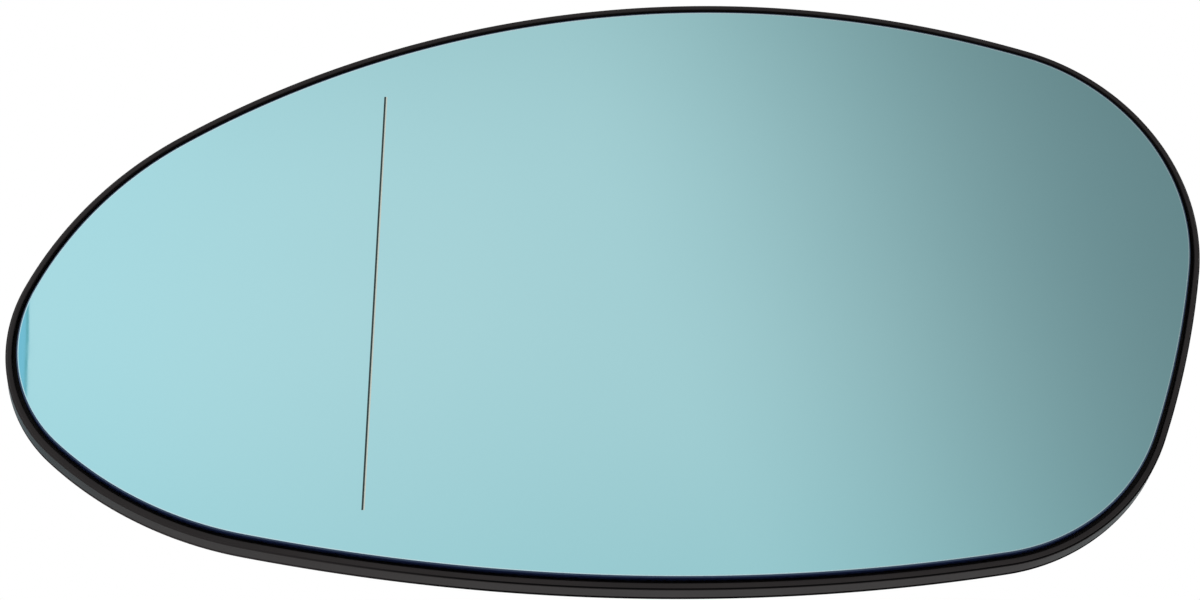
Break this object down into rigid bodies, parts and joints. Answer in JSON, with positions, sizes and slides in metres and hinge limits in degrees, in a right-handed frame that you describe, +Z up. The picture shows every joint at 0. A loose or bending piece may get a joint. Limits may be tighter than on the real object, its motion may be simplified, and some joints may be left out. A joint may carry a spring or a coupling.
{
  "type": "car door mirror glass",
  "caption": "Left-hand door mirror glass: bowed, tinted oval mirror with a dividing line for its wide-angle outer end, bonded to a black moulded carrier with a rear snap ring and heater blades.",
  "frame": {"origin": "centre of the rear snap ring, in the plane where its hooks grip", "axes": "+Y out of the back along the snap ring's axis, so the glass faces -Y; +Z up; +X inboard, so the narrow outboard nose points to -X"},
  "size_m": [0.1912, 0.0147, 0.1047],
  "materials": {
    "tinted_mirror": "blue-tinted mirror",
    "film": "printed film",
    "foam": "matt foam",
    "black_plastic": "satin moulded",
    "tinned_brass": "tinned"
  },
  "bodies": {
    "root": {"mirror_glass": "tinted_mirror", "heater_film": "film", "foam_tape": "foam", "carrier": "black_plastic", "terminal_near": "tinned_brass", "terminal_far": "tinned_brass"}
  },
  "joints": []
}
